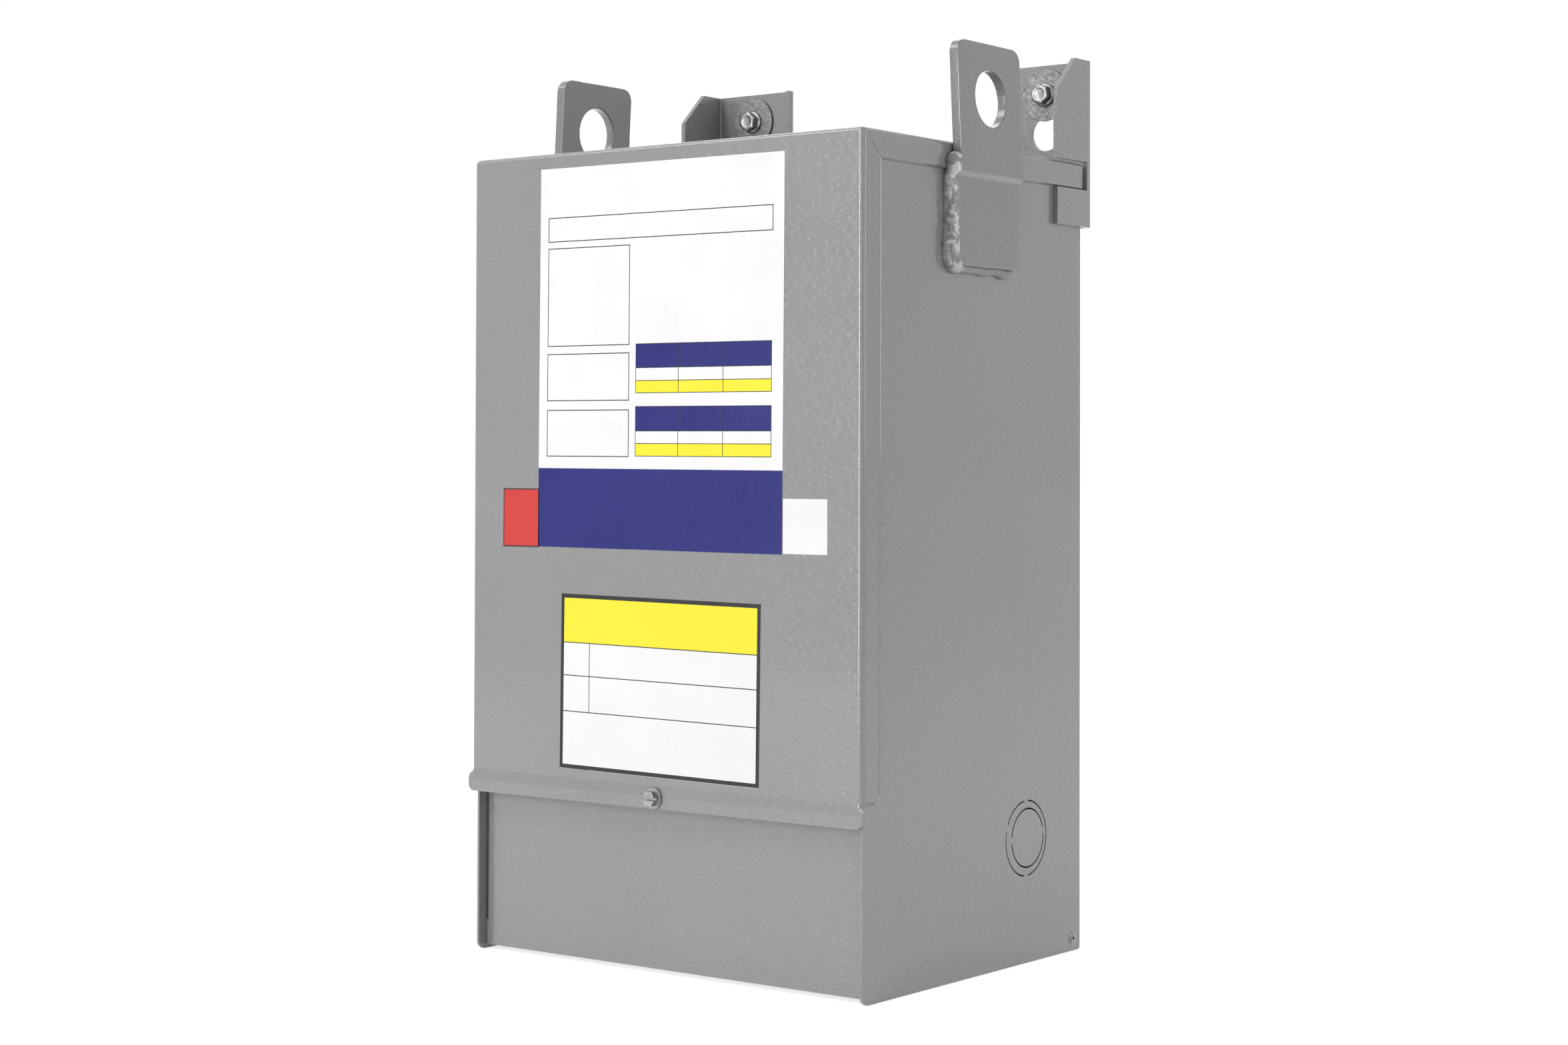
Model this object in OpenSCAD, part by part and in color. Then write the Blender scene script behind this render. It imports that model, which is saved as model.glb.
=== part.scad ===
// Wall-mounted potted distribution transformer: a sheet-steel box with a recessed wiring
// compartment at the foot, two lifting lugs and two wall brackets. The front faces -Y, +Z is up,
// and the origin is at the middle of the overall box, at the foot of the side panels.

/* [Box] */
// Width over the two side panels
box_w = 280; // [240:1:360]
// Depth from the face of the cover to the rear edge of the side panels
box_d = 225; // [190:1:300]
// Height from the foot to the top of the cover
box_h = 467; // [400:1:600]
// Sheet thickness of the side, back, bottom and wiring panels
side_sheet = 1.6; // [1.2:0.1:2.5]
// Sheet thickness of the one-piece front and top cover
cover_sheet = 2; // [1.5:0.1:3]

/* [Cover] */
// Depth of the returns that lap over the side panels
return_depth = 16; // [10:1:30]
// Height of the strip that the top turns down over the sides and back
strip_h = 15; // [10:1:24]
// Outside radius of the cover's bends
bend_r = 3; // [2.5:0.1:5]
// Height of the cover's lower edge above the foot
lip_z = 94; // [80:0.5:130]
// Height of the flared lip
lip_h = 14.5; // [13:0.5:22]
// How far the lip stands forward of the cover
lip_flare = 1.8; // [0.5:0.1:4]
// How far the flat lip stands out sideways past the bent returns
lip_side = 0.6; // [0.1:0.1:2]
// Radius of the lip's lower corners
lip_corner_r = 4; // [1:0.5:6]
// Radius of the lower corner of a side return
return_corner_r = 3.2; // [1:0.1:8]

/* [Wiring compartment] */
// Gap between the cover's front bends and the side panels' front edges
panel_gap = 0.2; // [0.1:0.1:3]
// How far the wiring cover lies behind the side panels' front edges
recess = 6.4; // [4:0.1:12]
// Gap between the floor and the lower edge of the wiring cover
foot_gap = 2.5; // [1:0.1:6]
// Width of the wiring cover's bent-back edges
wiring_return = 12; // [8:1:25]
// Radius of the side panels' lower front corners
toe_r = 5; // [2:0.5:10]

/* [Cover screw] */
// Diameter of the screw's washer face
screw_washer_d = 12; // [9:0.5:14]
// Thickness of the screw's washer face
screw_washer_t = 1.2; // [0.8:0.1:2]
// Width across the flats of the screw's head
screw_af = 8; // [6:0.1:9]
// Height of the screw's hexagon above its washer face
screw_head_h = 3.8; // [2.5:0.1:6]
// Diameter of the screw's shank
screw_d = 5.5; // [4:0.1:6]
// Width of the screwdriver slot
screw_slot = 1.4; // [0.8:0.1:2]
// Width of the clip that the screw bites into
clip_w = 24; // [16:1:40]

/* [Lifting lugs] */
// Width of a lug, front to back
lug_w = 64; // [50:1:80]
// Thickness of a lug
lug_t = 6.35; // [5:0.05:8]
// Height of a lug above the cover
lug_rise = 57.5; // [45:1:80]
// Length of a lug below the cover's top, down the side panel
lug_drop = 69; // [55:1:100]
// Diameter of a lug's lifting hole
lug_hole_d = 32; // [24:1:36]
// Height of the lifting hole's centre above the cover
lug_hole_rise = 26.3; // [22:0.5:40]
// Corner radius of a lug
lug_corner_r = 8; // [4:1:12]
// Gap between a lug's upper part and the strip that it passes over
lug_gap = 1; // [0.8:0.1:3]
// Inward lean of a lug's upper part, in degrees
lug_lean = 2.6; // [0:0.1:2.8]
// Shift of the left lug toward the back from the middle of the box
lug_shift_left = -3.5; // [-8:0.5:8]
// Shift of the right lug toward the back from the middle of the box
lug_shift_right = 3.5; // [-8:0.5:8]
// Leg of the fillet weld on the side panel
weld_leg = 5; // [3:0.5:8]
// Gap between the weld and the strip above it
weld_gap = 0.5; // [0.2:0.1:3]

/* [Wall brackets] */
// Plate thickness of a bracket
bracket_t = 3; // [2:0.1:4]
// Width of a bracket's rear plate over its bends
bracket_w = 63; // [56:0.5:80]
// Height of a bracket
bracket_h = 100; // [85:1:130]
// Height of a bracket above the cover
bracket_rise = 62; // [56:1:70]
// How far the brackets' rear faces stand behind the side panels
bracket_standoff = 9.5; // [6.5:0.1:15]
// Length of the outer flange along the side panel
flange_len = 40; // [36:1:60]
// Length of the short inner flange
inner_flange_len = 7; // [6:0.5:20]
// Leg of the chamfer on the outer flange's top corner
flange_chamfer = 20; // [12:1:28]
// Clearance around the cover's strip in the bracket's notch
notch_gap = 1; // [0.5:0.1:2]
// Height of the wall bolts above the cover
bolt_rise = 44; // [40:0.5:45]
// Distance of the wall bolts in from the side panel's face
bolt_inset = 28; // [26:0.5:34]
// Diameter of the keyhole's round end
keyhole_d = 21; // [18:0.5:22]
// Width of the keyhole's slot
keyhole_slot = 10; // [8:0.5:12]
// Drop from the bolt to the middle of the keyhole's round end
keyhole_drop = 23.3; // [22:0.1:26]

/* [Wall bolts] */
// Diameter of the fender washer
fender_d = 31.8; // [26:0.1:34]
// Thickness of the fender washer
fender_t = 1.6; // [1:0.1:2.5]
// Width across the flats of the bolt's head
bolt_af = 11; // [9:0.1:12]
// Height of the bolt's hexagon above its flange
bolt_head_h = 5.4; // [4:0.1:7]
// Diameter of the bolt's flange
bolt_flange_d = 14.5; // [13:0.1:17]
// Thickness of the bolt's flange
bolt_flange_t = 1.4; // [1:0.1:2]
// Diameter of the bolt's shank
bolt_d = 8; // [6:0.5:8]

/* [Knockouts] */
// Diameter of the outer knockout
knockout_d = 44; // [36:0.5:50]
// Diameter of the inner knockout
slug_d = 34.5; // [24:0.5:35]
// Width of the punched line around each knockout
punch_gap = 0.8; // [0.4:0.1:1.2]
// Width of the tabs that hold the knockouts
tab_w = 4; // [2:0.5:6]
// Height of the knockouts above the foot
knockout_z = 71.8; // [60:0.1:80]
// Distance of the knockouts in from the side panel's rear edge
knockout_inset = 59.5; // [40:0.5:80]
// Shift of the inner knockout from the outer one's centre, toward the back
slug_shift = 1.5; // [0:0.1:2]

/* [Rivets] */
// Diameter of a rivet's head
rivet_d = 7.6; // [5:0.1:9]
// Height of a rivet's head
rivet_h = 1.3; // [0.8:0.1:2]
// Diameter of a rivet's body and of the hole in its head
rivet_body_d = 3.9; // [3:0.1:5]
// Height of the rivets above the foot
rivet_z = 7.5; // [6:0.5:12]
// Distance of the rivets in from the side panel's rear edge
rivet_inset = 8.8; // [7:0.1:14]

/* [Labels] */
// Thickness of every label
label_t = 0.2; // [0.1:0.05:0.4]
// Width of the large sheet
sheet_w = 178; // [150:1:200]
// Height of the large sheet
sheet_h = 219; // [180:1:240]
// Gap from the cover's top to the large sheet
sheet_drop = 9.5; // [6:0.5:20]
// Width of the ruled card
card_w = 145; // [100:1:170]
// Height of the ruled card
card_h = 100; // [80:1:110]
// Gap from the large sheet down to the ruled card
card_drop = 27; // [15:1:40]
// Side of the small square tag
tag_w = 29.8; // [20:0.1:40]
// Width of the small upright sticker
sticker_w = 28; // [20:0.5:36]
// Height of the small upright sticker
sticker_h = 34; // [20:0.5:50]

/* [Hidden] */
$fn = 64;
eps = 0.01;

half_w = box_w / 2;                                   // outer face of the right side panel
cover_x = half_w + cover_sheet;                       // outer face of the cover's right return
inner_x = half_w - side_sheet;                        // inner face of the right side panel
nose = lip_flare + screw_washer_t + screw_head_h;   // how far the screw stands before the cover
overall_d = nose + box_d + bracket_standoff;
front_y = nose - overall_d / 2;                       // the cover's face
back_y = front_y + box_d;                             // the side panels' rear edges
wall_y = back_y + bracket_standoff;                   // the plane of the wall
panel_y = front_y + bend_r + panel_gap;               // the side panels' front edges
wiring_y = panel_y + recess;                          // the wiring cover's face
panel_top = box_h - bend_r;                           // the panels end below the cover's bends
strip_z = box_h - strip_h;
lip_top = lip_z + lip_h;
lip_step = lip_h / 2;                                 // height over which the lip slopes forward
lip_y = front_y - lip_flare;                          // the lip's face
return_foot = lip_top - 1.5;                          // lower end of the cover's side returns
clip_y = front_y + cover_sheet;                       // the clip lies against the back of the cover

panel_bend_r = side_sheet + 0.8;                      // outside radius of the inner panels' bends
floor_z = foot_gap + side_sheet;                      // the bottom panel lies on the cover's return
floor_turn = rivet_z + 9;                             // top of the bottom panel's turned-up edges
wiring_top = lip_top + 6;                             // the wiring cover runs up behind the lip
core_z = wiring_top;                                  // foot of the potted block

lug_bend_z = strip_z;                                 // the lugs step outward just below the strip
lug_step = cover_sheet + lug_gap;
lug_step_h = 7;
lug_top = box_h + lug_rise;
lug_foot = box_h - lug_drop;
lug_hole_z = box_h + lug_hole_rise;
// The hole's axis meets the lug's inner face here
lug_hole_x = half_w + lug_step - (lug_hole_z - lug_bend_z) * tan(lug_lean);

bracket_top = box_h + bracket_rise;
bracket_foot = bracket_top - bracket_h;
bracket_bend_r = bracket_t + 1;
bolt_x = half_w - bolt_inset;
bolt_z = box_h + bolt_rise;
bracket_face = wall_y - bracket_t;                    // front face of the rear plate

screw_z = lip_z + screw_washer_d / 2;
knockout_y = back_y - knockout_inset;
rivet_y = back_y - rivet_inset;
punch_r = knockout_d / 2;

sheet_z = box_h - sheet_drop - sheet_h;
card_z = sheet_z - card_drop - card_h;

paint = [0.58, 0.58, 0.57];
zinc = [0.72, 0.72, 0.70];

// A lug's middle, front to back
function lug_y(side) = (front_y + back_y) / 2 + (side > 0 ? lug_shift_right : lug_shift_left);

// Draws the right-hand piece, or its mirror image on the left
module on_side(side) {
    if (side > 0) children();
    else mirror([1, 0, 0]) children();
}

// Lays a drawing made in (y, z) against a plane that faces +X, and thickens it toward +X
module along_x(x, thickness) {
    translate([x, 0, 0]) rotate([90, 0, 90]) linear_extrude(thickness) children();
}

// Stands a drawing made in (x, z) on a plane that faces -Y, and thickens it toward +Y
module along_y(y, thickness) {
    translate([0, y + thickness, 0]) rotate([90, 0, 0]) linear_extrude(thickness) children();
}

// A rectangle from corner low to corner high, with radii at its lower-left, lower-right,
// upper-right and upper-left corners
module rounded_box(low, high, radii) {
    corners = [low, [high[0], low[1]], high, [low[0], high[1]]];
    inward = [[1, 1], [-1, 1], [-1, -1], [1, -1]];
    difference() {
        translate(low) square(high - low);
        for (i = [0:3]) if (radii[i] > 0)
            translate(corners[i]) facing(inward[i]) difference() {
                translate([-eps, -eps]) square(radii[i] + eps);
                translate([radii[i], radii[i]]) circle(radii[i]);
            }
    }
}

// Turns a corner drawing so that its inward direction is the one given
module facing(inward) {
    mirror([inward[0] < 0 ? 1 : 0, 0]) mirror([0, inward[1] < 0 ? 1 : 0]) children();
}

// A quarter of a bent sheet about the origin, in the quadrant x > 0, y > 0
module quarter_bend(outer_r, sheet) {
    intersection() {
        difference() {
            circle(outer_r);
            circle(outer_r - sheet);
        }
        square(outer_r + 1);
    }
}

// Half of a bent channel's plan, from the middle of the face to the end of its right return.
// The face lies along x at y = 0, and the return runs toward +y.
module half_channel(x, depth, sheet, outer_r) {
    square([x - outer_r, sheet]);
    translate([x - sheet, outer_r]) square([sheet, depth - outer_r]);
    translate([x - outer_r, outer_r]) mirror([0, 1]) quarter_bend(outer_r, sheet);
}

module side_panel(side) {
    color(paint) on_side(side) along_x(inner_x, side_sheet) difference() {
        rounded_box([panel_y, 0], [back_y, panel_top], [toe_r, side_sheet, 0, 0]);
        translate([knockout_y, knockout_z]) circle(punch_r);
        translate([rivet_y, rivet_z]) circle(d = rivet_body_d);
    }
}

module back_panel() {
    color(paint) along_y(back_y - side_sheet, side_sheet)
        translate([-inner_x, 0]) square([2 * inner_x, panel_top]);
}

// A plate whose two sides turn up against the side panels, where the rivets hold them
module bottom_panel() {
    depth = back_y - side_sheet - wiring_y - side_sheet;
    color(paint) difference() {
        translate([0, back_y - side_sheet, floor_z]) rotate([90, 0, 0]) linear_extrude(depth)
            for (s = [0, 1]) mirror([s, 0])
                half_channel(inner_x, floor_turn - floor_z, side_sheet, panel_bend_r);
        for (s = [-1, 1]) on_side(s) along_x(inner_x - side_sheet - 1, side_sheet + 2)
            translate([rivet_y, rivet_z]) circle(d = rivet_body_d);
    }
}

// One sheet: a face that turns back over the top, returns that lap over the side panels,
// a turned-down strip along the sides and back, and a lip that flares forward at the foot
module front_cover() {
    color(paint) {
        // Face and side returns, up to the underside of the top
        translate([0, front_y, lip_top]) linear_extrude(box_h - bend_r - lip_top)
            for (s = [0, 1]) mirror([s, 0])
                half_channel(cover_x, return_depth, cover_sheet, bend_r);
        // Side returns below the top of the lip
        for (s = [-1, 1]) on_side(s) along_x(half_w, cover_sheet)
            rounded_box([front_y + bend_r, return_foot],
                [front_y + return_depth, lip_top + return_corner_r], [0, return_corner_r, 0, 0]);
        // Bend from the face into the top
        intersection() {
            along_x(-cover_x, 2 * cover_x) translate([front_y + bend_r, box_h - bend_r])
                mirror([1, 0]) quarter_bend(bend_r, cover_sheet);
            translate([-cover_x + bend_r, front_y, box_h - bend_r])
                cube([2 * (cover_x - bend_r), bend_r, bend_r]);
        }
        cover_corners();
        // Top, and the strip turned down along the sides
        translate([0, front_y + bend_r, box_h]) rotate([-90, 0, 0])
            linear_extrude(box_d + cover_sheet - bend_r)
                for (s = [0, 1]) mirror([s, 0])
                    half_channel(cover_x, strip_h, cover_sheet, bend_r);
        // Strip turned down behind the back panel
        translate([-inner_x, back_y, strip_z])
            cube([2 * inner_x, cover_sheet, strip_h - cover_sheet]);
        cover_lip();
    }
}

// The ball-shaped corners where the cover's three bends meet
module cover_corners() {
    for (s = [-1, 1]) on_side(s) intersection() {
        translate([cover_x - bend_r, front_y + bend_r, box_h - bend_r]) difference() {
            sphere(bend_r);
            sphere(bend_r - cover_sheet);
        }
        translate([cover_x - bend_r, front_y, box_h - bend_r]) cube(bend_r);
    }
}

// The lip: its section steps forward below the face, and its lower corners are round
module cover_lip() {
    lip_x = cover_x + lip_side;
    bent = lip_top - lip_step;
    intersection() {
        along_x(-lip_x, 2 * lip_x) polygon([
            [front_y, lip_top],
            [lip_y, bent],
            [lip_y, lip_z],
            [lip_y + cover_sheet, lip_z],
            [lip_y + cover_sheet, bent],
            [front_y + cover_sheet, lip_top]]);
        along_y(lip_y - 1, lip_flare + cover_sheet + 2) difference() {
            rounded_box([-lip_x, lip_z], [lip_x, lip_top], [lip_corner_r, lip_corner_r, 0, 0]);
            translate([0, screw_z]) circle(d = screw_d);
        }
    }
}

// The recessed lower cover, bent back at its sides and foot
module wiring_cover() {
    color(paint) {
        // Above the bottom panel's turned-up edges the sides turn back
        translate([0, wiring_y, floor_turn + 1]) linear_extrude(wiring_top - floor_turn - 1)
            for (s = [0, 1]) mirror([s, 0])
                half_channel(inner_x, wiring_return, side_sheet, panel_bend_r);
        translate([-inner_x, wiring_y, foot_gap])
            cube([2 * inner_x, side_sheet, floor_turn + 1 - foot_gap]);
        translate([-inner_x, wiring_y, foot_gap]) cube([2 * inner_x, wiring_return, side_sheet]);
    }
}

// A bent clip on the wiring cover, behind the lip, that the cover screw bites into
module screw_clip() {
    color(paint) difference() {
        union() {
            along_y(clip_y, side_sheet) translate([-clip_w / 2, lip_z + 1])
                square([clip_w, wiring_top - lip_z - 1]);
            along_y(clip_y, wiring_y - clip_y) translate([-clip_w / 2, wiring_top - side_sheet])
                square([clip_w, side_sheet]);
        }
        along_y(clip_y - 1, side_sheet + 2) translate([0, screw_z]) circle(d = screw_d);
    }
}

// Slotted hexagon head with its washer face, and a shank through the lip and the clip
module cover_screw() {
    head_y = lip_y - screw_washer_t - screw_head_h;
    shank = clip_y + side_sheet + 1 - lip_y;
    color(zinc) difference() {
        translate([0, lip_y, screw_z]) rotate([90, 0, 0]) {
            cylinder(h = screw_washer_t, d = screw_washer_d);
            cylinder(h = screw_washer_t + screw_head_h, d = screw_af / cos(30), $fn = 6);
            translate([0, 0, -shank]) cylinder(h = shank + eps, d = screw_d);
        }
        translate([-screw_af, head_y - eps, screw_z - screw_slot / 2])
            cube([2 * screw_af, screw_head_h / 2, screw_slot]);
    }
}

// Core, coils and compound as the one block that fills the upper part of the box
module potted_core() {
    core_y = front_y + bend_r;
    color([0.16, 0.16, 0.17]) translate([-inner_x, core_y, core_z])
        cube([2 * inner_x, back_y - side_sheet - core_y, panel_top - core_z]);
}

// A lug's section in (x, z): flat on the side panel, stepped out over the strip, leaning inward
module lug_section() {
    lean = (lug_top - lug_bend_z) * tan(lug_lean);
    low = lug_bend_z - lug_step_h;
    polygon([
        [half_w, lug_foot],
        [half_w + lug_t, lug_foot],
        [half_w + lug_t, low],
        [half_w + lug_step + lug_t, lug_bend_z],
        [half_w + lug_step + lug_t - lean, lug_top],
        [half_w + lug_step - lean, lug_top],
        [half_w + lug_step, lug_bend_z],
        [half_w, low]]);
}

// A lug's outline in (y, z), round at the foot and, up to the lug's own top, at the head
module lug_outline(side, top, head_r) {
    rounded_box([lug_y(side) - lug_w / 2, lug_foot], [lug_y(side) + lug_w / 2, top],
        [lug_corner_r, lug_corner_r, head_r, head_r]);
}

module lifting_lug(side) {
    color(paint) on_side(side) difference() {
        intersection() {
            along_y(front_y, box_d) lug_section();
            along_x(half_w - lug_w, 2 * lug_w) lug_outline(side, lug_top, lug_corner_r);
        }
        translate([lug_hole_x, lug_y(side), lug_hole_z]) rotate([0, 90 - lug_lean, 0])
            cylinder(h = 6 * lug_t, d = lug_hole_d, center = true);
    }
}

// Fillet weld around the foot of a lug, up to the cover's strip
module lug_weld(side) {
    weld_t = lug_t - 1;
    color(paint) on_side(side) difference() {
        hull() {
            along_x(half_w, eps) weld_outline(side, weld_leg);
            along_x(half_w + weld_t - eps, eps) weld_outline(side, 0.4);
        }
        along_x(half_w - 1, 2 * lug_t + 2) lug_outline(side, lug_top, 0);
    }
}

// A lug's foot grown by the weld's leg, and cut off just below the strip
module weld_outline(side, leg) {
    intersection() {
        offset(r = leg) lug_outline(side, strip_z, 0);
        translate([front_y, 0]) square([box_d, strip_z - weld_gap]);
    }
}

// A bracket's plan for the right side: outer flange, rear plate and short inner flange
module bracket_plan() {
    outer = half_w + bracket_t;
    inner = outer - bracket_w;
    r = bracket_bend_r;
    translate([inner + r, bracket_face]) square([bracket_w - 2 * r, bracket_t]);
    translate([half_w, wall_y - flange_len]) square([bracket_t, flange_len - r]);
    translate([inner, wall_y - inner_flange_len]) square([bracket_t, inner_flange_len - r]);
    translate([outer - r, wall_y - r]) quarter_bend(r, bracket_t);
    translate([inner + r, wall_y - r]) mirror([1, 0]) quarter_bend(r, bracket_t);
}

// The keyhole: a round end below, and a slot up to the bolt
module keyhole() {
    round_z = bolt_z - keyhole_drop;
    translate([bolt_x, round_z]) circle(d = keyhole_d);
    translate([bolt_x - keyhole_slot / 2, round_z]) square([keyhole_slot, keyhole_drop]);
    translate([bolt_x, bolt_z]) circle(d = keyhole_slot);
}

module wall_bracket(side) {
    flange_y = wall_y - flange_len;
    notch_end = back_y + cover_sheet + notch_gap;
    clear_z = box_h + notch_gap;
    color(paint) on_side(side) difference() {
        translate([0, 0, bracket_foot]) linear_extrude(bracket_h) bracket_plan();
        along_y(bracket_face - 1, bracket_t + 2) keyhole();
        // The short inner flange stops above the box
        along_x(half_w + bracket_t - bracket_w - 1, bracket_t + 2)
            translate([wall_y - inner_flange_len - 1, bracket_foot - 1])
                square([notch_end - wall_y + inner_flange_len + 1, clear_z - bracket_foot + 1]);
        along_x(half_w - 1, bracket_t + 2) {
            // Chamfered top corner
            polygon([
                [flange_y - 1, bracket_top + 1],
                [flange_y - 1, bracket_top - flange_chamfer - 1],
                [flange_y + flange_chamfer + 1, bracket_top + 1]]);
            // Notch that the cover's strip passes through, open to the front
            translate([flange_y - 1, strip_z - notch_gap])
                square([notch_end - flange_y + 1, strip_h + 2 * notch_gap]);
            // Rounded foot
            translate([wall_y, bracket_foot]) mirror([1, 0]) difference() {
                translate([-eps, -eps]) square(bracket_t + eps);
                translate([bracket_t, bracket_t]) circle(bracket_t);
            }
        }
    }
}

module fender_washer(side) {
    color(zinc) on_side(side) along_y(bracket_face - fender_t, fender_t)
        translate([bolt_x, bolt_z]) difference() {
            circle(d = fender_d);
            circle(d = bolt_d);
        }
}

// A flanged hexagon bolt whose shank ends flush with the bracket's rear face
module wall_bolt(side) {
    seat_y = bracket_face - fender_t;
    color(zinc) on_side(side) translate([bolt_x, seat_y, bolt_z]) rotate([90, 0, 0]) {
        cylinder(h = bolt_flange_t, d = bolt_flange_d);
        cylinder(h = bolt_flange_t + bolt_head_h, d = bolt_af / cos(30), $fn = 6);
        translate([0, 0, seat_y - wall_y]) cylinder(h = wall_y - seat_y + eps, d = bolt_d);
    }
}

// A disc held in a round hole by tabs at the angles given, measured from the front
module held_disc(hole_r, angles) {
    intersection() {
        circle(hole_r);
        union() {
            circle(hole_r - punch_gap);
            for (a = angles) rotate(180 + a) translate([0, -tab_w / 2]) square([hole_r, tab_w]);
        }
    }
}

module knockout_ring(side) {
    color(paint) on_side(side) along_x(inner_x, side_sheet)
        translate([knockout_y, knockout_z]) difference() {
            held_disc(punch_r, [-20, 90, 270]);
            translate([slug_shift, 0]) circle(d = slug_d);
        }
}

module knockout_slug(side) {
    color(paint) on_side(side) along_x(inner_x, side_sheet)
        translate([knockout_y + slug_shift, knockout_z]) held_disc(slug_d / 2, [0, 190]);
}

// A blind rivet: a low domed head with the hole that its mandrel leaves
module corner_rivet(side) {
    grip = 2 * side_sheet;
    dome_r = (rivet_d * rivet_d / 4 + rivet_h * rivet_h) / (2 * rivet_h);
    color(paint) on_side(side) translate([half_w, rivet_y, rivet_z]) rotate([0, 90, 0]) difference() {
        union() {
            intersection() {
                translate([0, 0, rivet_h - dome_r]) sphere(dome_r);
                cylinder(h = rivet_h, d = rivet_d);
            }
            translate([0, 0, -grip]) cylinder(h = grip + eps, d = rivet_body_d);
        }
        cylinder(h = 2 * rivet_h, d = rivet_body_d / 2, center = true);
    }
}

// A label on the cover's face, from its lower-left corner
module label(x, z, size) {
    along_y(front_y - label_t, label_t) translate([x, z]) square(size);
}

module large_label() {
    color("white") label(-sheet_w / 2, sheet_z, [sheet_w, sheet_h]);
}

module ruled_card() {
    color("white") label(-card_w / 2 + 1, card_z, [card_w, card_h]);
}

module square_tag() {
    color("white") label(sheet_w / 2, sheet_z, [tag_w, tag_w]);
}

module upright_sticker() {
    color("white") label(-sheet_w / 2 - sticker_w, sheet_z, [sticker_w, sticker_h]);
}

side_panel(-1);  // side_panel_left
side_panel(1);  // side_panel_right
back_panel();
bottom_panel();
front_cover();
wiring_cover();
screw_clip();
cover_screw();
potted_core();
lifting_lug(-1);  // lifting_lug_left
lifting_lug(1);  // lifting_lug_right
lug_weld(-1);  // lug_weld_left
lug_weld(1);  // lug_weld_right
wall_bracket(-1);  // wall_bracket_left
wall_bracket(1);  // wall_bracket_right
fender_washer(-1);  // fender_washer_left
fender_washer(1);  // fender_washer_right
wall_bolt(-1);  // wall_bolt_left
wall_bolt(1);  // wall_bolt_right
knockout_ring(-1);  // knockout_ring_left
knockout_ring(1);  // knockout_ring_right
knockout_slug(-1);  // knockout_slug_left
knockout_slug(1);  // knockout_slug_right
corner_rivet(-1);  // corner_rivet_left
corner_rivet(1);  // corner_rivet_right
large_label();
ruled_card();
square_tag();
upright_sticker();
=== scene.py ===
import math

import bpy
import bmesh
import numpy as np
from mathutils import Matrix, Vector


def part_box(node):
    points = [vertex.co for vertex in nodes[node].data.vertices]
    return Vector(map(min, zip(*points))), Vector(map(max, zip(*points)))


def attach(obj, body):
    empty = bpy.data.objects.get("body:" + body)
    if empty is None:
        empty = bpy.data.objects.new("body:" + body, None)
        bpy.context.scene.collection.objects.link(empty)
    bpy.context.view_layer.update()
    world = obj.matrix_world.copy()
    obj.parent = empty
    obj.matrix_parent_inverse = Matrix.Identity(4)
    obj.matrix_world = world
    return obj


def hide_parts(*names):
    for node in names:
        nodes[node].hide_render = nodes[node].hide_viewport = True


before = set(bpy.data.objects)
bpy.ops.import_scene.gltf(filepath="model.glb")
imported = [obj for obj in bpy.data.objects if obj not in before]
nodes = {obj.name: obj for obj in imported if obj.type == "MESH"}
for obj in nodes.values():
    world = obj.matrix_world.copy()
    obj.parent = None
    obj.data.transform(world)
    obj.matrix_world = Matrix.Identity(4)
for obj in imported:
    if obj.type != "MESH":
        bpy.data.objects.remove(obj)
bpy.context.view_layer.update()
mm = 0.001
tau = 2 * math.pi
print("frame loaded:", len(nodes), "nodes")


def low(node):
    return np.array(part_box(node)[0])


def high(node):
    return np.array(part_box(node)[1])


def middle(node):
    return (low(node) + high(node)) / 2


panelX = high("side_panel_right")[0]  # outer face of the right side panel
faceY = high("large_label")[1]  # outer face of the cover, where the labels lie
coverTop = high("front_cover")[2]
coverBackY = high("front_cover")[1]
lipZ = low("front_cover")[2]
lipY = low("front_cover")[1]
lipX = high("front_cover")[0]


view = {
    "azimuth": 37.241,  # degrees from straight on, toward the right side
    "elevation": -1.169,
    "roll": -0.168,
    "distance": 1.43689,  # from a point above the box's front right foot
    "aside": -0.04029,
    "height": 0.31581,
    "lens": 62.238,
    "shiftY": -0.07185,
}


def makeCamera():
    # position = foot corner + aside * right + height * up + distance * back
    azimuth = math.radians(view["azimuth"])
    elevation = math.radians(view["elevation"])
    back = Vector((math.sin(azimuth) * math.cos(elevation),
                   -math.cos(azimuth) * math.cos(elevation), math.sin(elevation)))
    right = Vector((math.cos(azimuth), math.sin(azimuth), 0))
    corner = Vector((panelX, faceY, 0))
    place = corner + right * view["aside"] + Vector((0, 0, view["height"])) + back * view["distance"]
    up = back.cross(right)
    turn = Matrix((right, up, back)).transposed().to_4x4()
    data = bpy.data.cameras.new("camera")
    data.lens = view["lens"]
    data.sensor_width = 36
    data.shift_y = view["shiftY"]
    data.clip_start = 0.05
    camera = bpy.data.objects.new("camera", data)
    bpy.context.scene.collection.objects.link(camera)
    roll = Matrix.Rotation(math.radians(-view["roll"]), 4, "Z")
    camera.matrix_world = Matrix.Translation(place) @ turn @ roll
    bpy.context.scene.camera = camera


makeCamera()
print("camera placed")


def meshFrom(name, points, quads, smooth=True):
    # points: n x 3 array, quads: m x 4 array of point numbers
    mesh = bpy.data.meshes.new(name)
    mesh.vertices.add(len(points))
    mesh.vertices.foreach_set("co", np.asarray(points, dtype=np.float32).ravel())
    quads = np.asarray(quads, dtype=np.int32)
    mesh.loops.add(quads.size)
    mesh.loops.foreach_set("vertex_index", quads.ravel())
    mesh.polygons.add(len(quads))
    mesh.polygons.foreach_set("loop_start", np.arange(len(quads), dtype=np.int32) * quads.shape[1])
    mesh.polygons.foreach_set("use_smooth", np.full(len(quads), smooth))
    mesh.update(calc_edges=True)
    mesh.validate()
    return mesh


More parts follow.
